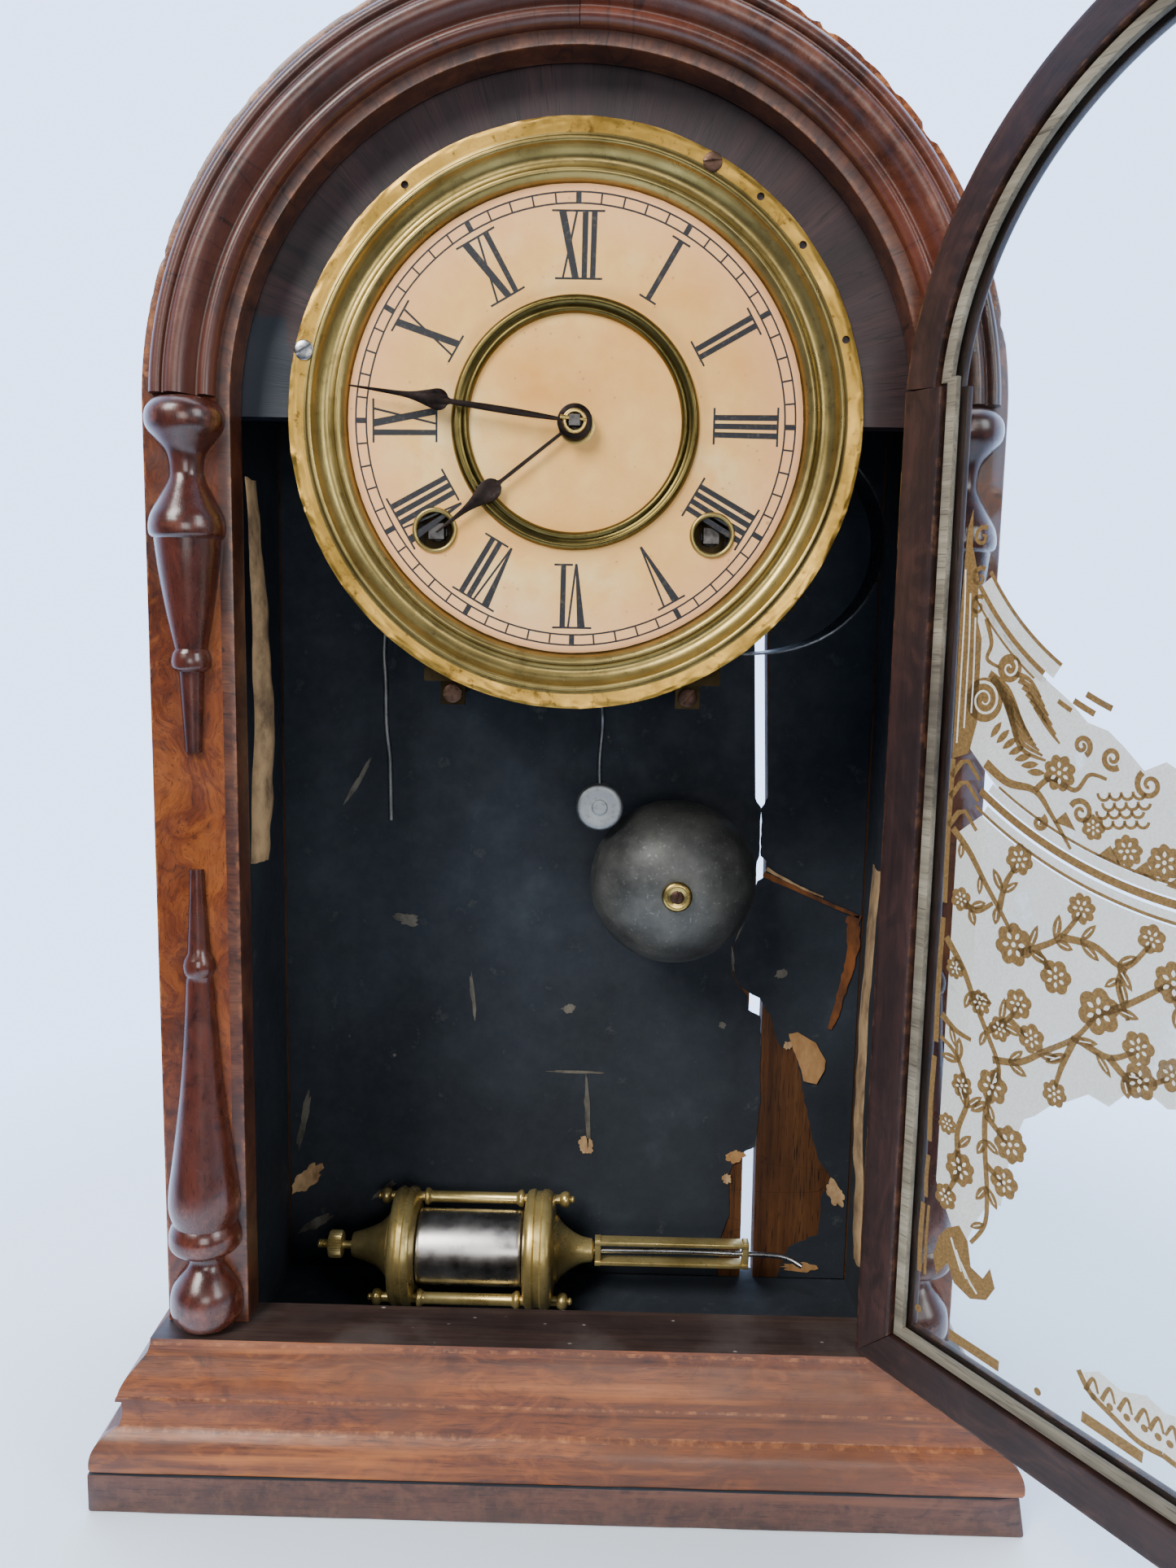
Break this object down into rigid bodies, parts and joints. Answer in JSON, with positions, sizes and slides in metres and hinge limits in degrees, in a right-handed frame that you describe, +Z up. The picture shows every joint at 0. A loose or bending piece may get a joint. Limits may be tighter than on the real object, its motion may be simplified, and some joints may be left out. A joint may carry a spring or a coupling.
{
  "type": "mantel clock",
  "caption": "Round-top spring-driven shelf clock that strikes on a bell, with split columns, a hinged glazed door, a brass dial pan and a loose pendulum bob.",
  "frame": {"origin": "middle of the base board's underside", "axes": "+X to the right seen from the front, -Y out of the dial towards the viewer, +Z up"},
  "size_m": [0.3373, 0.2663, 0.4315],
  "materials": {
    "walnut": "dark shellac, worn",
    "burl_veneer": "figured veneer, polished and cracked",
    "dark_wood": "dark stained, dull",
    "lined_board": "softwood lined with black paper, torn",
    "hinge_brass": "tarnished",
    "dial_brass": "spun, lacquer worn",
    "dial_paper": "aged, stained",
    "blued_steel": "blued",
    "movement_brass": "dull",
    "bright_steel": "dull",
    "spring_steel": "blued, oily",
    "bell_metal": "dark, rubbed",
    "bob_brass": "polished, tarnished",
    "silvered": "silvered tube",
    "door_glass": "old sheet glass with gilt stencil"
  },
  "bodies": {
    "case": {"base_board": "walnut", "base_moulding": "burl_veneer", "case_hoop": "walnut", "back_board": "lined_board", "front_frame": "burl_veneer", "dial_board": "dark_wood", "arch_moulding": "walnut", "column_upper_left": "walnut", "column_lower_left": "walnut", "column_upper_right": "walnut", "column_lower_right": "walnut", "hinge_leaf_case_lower": "hinge_brass", "hinge_leaf_case_upper": "hinge_brass", "dial_pan": "dial_brass", "dial_paper": "dial_paper", "dial_inner_ring": "dial_brass", "winding_eyelet_left": "dial_brass", "winding_eyelet_right": "dial_brass", "front_plate": "movement_brass", "back_plate": "movement_brass", "time_mainspring": "spring_steel", "strike_mainspring": "spring_steel", "bell": "bell_metal", "bell_post": "bob_brass"},
    "door": {"door_arch": "dark_wood", "door_stile_hinge": "dark_wood", "door_stile_latch": "dark_wood", "door_rail": "dark_wood", "glass_bead": "dark_wood", "door_glass": "door_glass", "hinge_leaf_door_lower": "hinge_brass", "hinge_leaf_door_upper": "hinge_brass"},
    "latch": {"latch_knob": "hinge_brass"},
    "minute_work": {"centre_arbor": "bright_steel", "minute_hand": "blued_steel", "hand_washer": "dial_brass"},
    "hour_work": {"hour_wheel": "movement_brass", "hour_hand": "blued_steel"},
    "minute_wheel": {"minute_wheel": "movement_brass"},
    "second_wheel": {"second_wheel": "movement_brass"},
    "third_wheel": {"third_wheel": "movement_brass"},
    "fourth_wheel": {"fourth_wheel": "movement_brass"},
    "escape_wheel": {"escape_wheel": "movement_brass"},
    "time_great_wheel": {"time_great_wheel": "movement_brass"},
    "time_winding": {"time_winding_arbor": "bright_steel"},
    "strike_winding": {"strike_winding_arbor": "bright_steel"},
    "strike_great_wheel": {"strike_great_wheel": "movement_brass"},
    "pin_wheel": {"pin_wheel": "movement_brass"},
    "fly": {"fly": "movement_brass"},
    "count_wheel": {"count_wheel": "movement_brass"},
    "hammer": {"hammer": "bright_steel"},
    "verge": {"verge": "bright_steel"},
    "pendulum_rod": {"pendulum_rod": "bright_steel"},
    "strike_trip": {"strike_trip_wire": "bright_steel"},
    "bob": {"bob_jar": "silvered", "bob_cap_lower": "bob_brass", "bob_cap_upper": "bob_brass", "bob_column_front": "bob_brass", "bob_column_rear": "bob_brass", "bob_rod": "bob_brass"}
  },
  "joints": [
    {"name": "door_hinge", "type": "hinge", "parent": "case", "child": "door", "pos_m": [0.0936, -0.0446, 0.205], "axis": [0, 0, 1], "range_deg": [-123.2, 0]},
    {"name": "latch_turn", "type": "hinge", "parent": "door", "child": "latch", "pos_m": [0.19167, -0.19446, 0.19], "axis": [-0.8368, -0.5476, 0], "range_deg": [0, 90]},
    {"name": "minute_hand_turn", "type": "hinge", "parent": "case", "child": "minute_work", "pos_m": [0, -0.033, 0.3144], "axis": [0, 1, 0], "continuous": true},
    {"name": "hour_hand_turn", "type": "hinge", "parent": "case", "child": "hour_work", "pos_m": [0, -0.031, 0.3144], "axis": [0, 1, 0], "continuous": true},
    {"name": "minute_wheel_turn", "type": "hinge", "parent": "case", "child": "minute_wheel", "pos_m": [0.018, -0.0206, 0.3144], "axis": [0, 1, 0], "continuous": true},
    {"name": "second_wheel_turn", "type": "hinge", "parent": "case", "child": "second_wheel", "pos_m": [0.03, 0, 0.32], "axis": [0, 1, 0], "continuous": true},
    {"name": "time_great_wheel_turn", "type": "hinge", "parent": "case", "child": "time_great_wheel", "pos_m": [0.0395, -0.0127, 0.2843], "axis": [0, 1, 0], "continuous": true},
    {"name": "third_wheel_turn", "type": "hinge", "parent": "case", "child": "third_wheel", "pos_m": [0.0225, 0, 0.3425], "axis": [0, 1, 0], "continuous": true},
    {"name": "fourth_wheel_turn", "type": "hinge", "parent": "case", "child": "fourth_wheel", "pos_m": [0.01099, 0, 0.33211], "axis": [0, 1, 0], "continuous": true},
    {"name": "escape_wheel_turn", "type": "hinge", "parent": "case", "child": "escape_wheel", "pos_m": [0, 0, 0.3325], "axis": [0, 1, 0], "continuous": true},
    {"name": "time_winding_turn", "type": "hinge", "parent": "case", "child": "time_winding", "pos_m": [0.0395, -0.022, 0.2843], "axis": [0, 1, 0], "continuous": true},
    {"name": "strike_winding_turn", "type": "hinge", "parent": "case", "child": "strike_winding", "pos_m": [-0.0395, -0.022, 0.2843], "axis": [0, 1, 0], "continuous": true},
    {"name": "strike_great_wheel_turn", "type": "hinge", "parent": "case", "child": "strike_great_wheel", "pos_m": [-0.0395, -0.0127, 0.2843], "axis": [0, 1, 0], "continuous": true},
    {"name": "pin_wheel_turn", "type": "hinge", "parent": "case", "child": "pin_wheel", "pos_m": [-0.03, 0, 0.32], "axis": [0, 1, 0], "continuous": true},
    {"name": "fly_turn", "type": "hinge", "parent": "case", "child": "fly", "pos_m": [-0.0225, 0, 0.3425], "axis": [0, 1, 0], "continuous": true},
    {"name": "count_wheel_turn", "type": "hinge", "parent": "case", "child": "count_wheel", "pos_m": [-0.0395, 0.0149, 0.2843], "axis": [0, 1, 0], "continuous": true},
    {"name": "hammer_swing", "type": "hinge", "parent": "case", "child": "hammer", "pos_m": [0.009, 0, 0.255], "axis": [0, 1, 0], "range_deg": [0, 18]},
    {"name": "pendulum_swing", "type": "hinge", "parent": "case", "child": "pendulum_rod", "pos_m": [0, -0.0215, 0.3518], "axis": [0, 1, 0], "range_deg": [-3.5, 3.5]},
    {"name": "verge_rock", "type": "hinge", "parent": "case", "child": "verge", "pos_m": [0, 0, 0.3485], "axis": [0, 1, 0], "range_deg": [-4.6, 4.6]},
    {"name": "strike_trip_lift", "type": "hinge", "parent": "case", "child": "strike_trip", "pos_m": [-0.012, 0.0152, 0.25], "axis": [0, 1, 0], "range_deg": [0, 10]},
    {"name": "bob_lift_out", "type": "slide", "parent": "case", "child": "bob", "axis": [0, -0.7071, 0.7071], "range_m": [0, 0.17]}
  ],
  "couplings": [
    {"joint": "hour_hand_turn", "follows": "minute_hand_turn", "ratio": 0.083333},
    {"joint": "minute_wheel_turn", "follows": "minute_hand_turn", "ratio": -0.33333},
    {"joint": "second_wheel_turn", "follows": "minute_hand_turn", "ratio": -0.5},
    {"joint": "time_great_wheel_turn", "follows": "minute_hand_turn", "ratio": 0.0625},
    {"joint": "third_wheel_turn", "follows": "minute_hand_turn", "ratio": 3},
    {"joint": "fourth_wheel_turn", "follows": "minute_hand_turn", "ratio": -18},
    {"joint": "escape_wheel_turn", "follows": "minute_hand_turn", "ratio": 108},
    {"joint": "pin_wheel_turn", "follows": "strike_great_wheel_turn", "ratio": -8},
    {"joint": "fly_turn", "follows": "strike_great_wheel_turn", "ratio": 48},
    {"joint": "count_wheel_turn", "follows": "strike_great_wheel_turn", "ratio": 0.82051},
    {"joint": "verge_rock", "follows": "pendulum_swing", "ratio": 1.28}
  ]
}
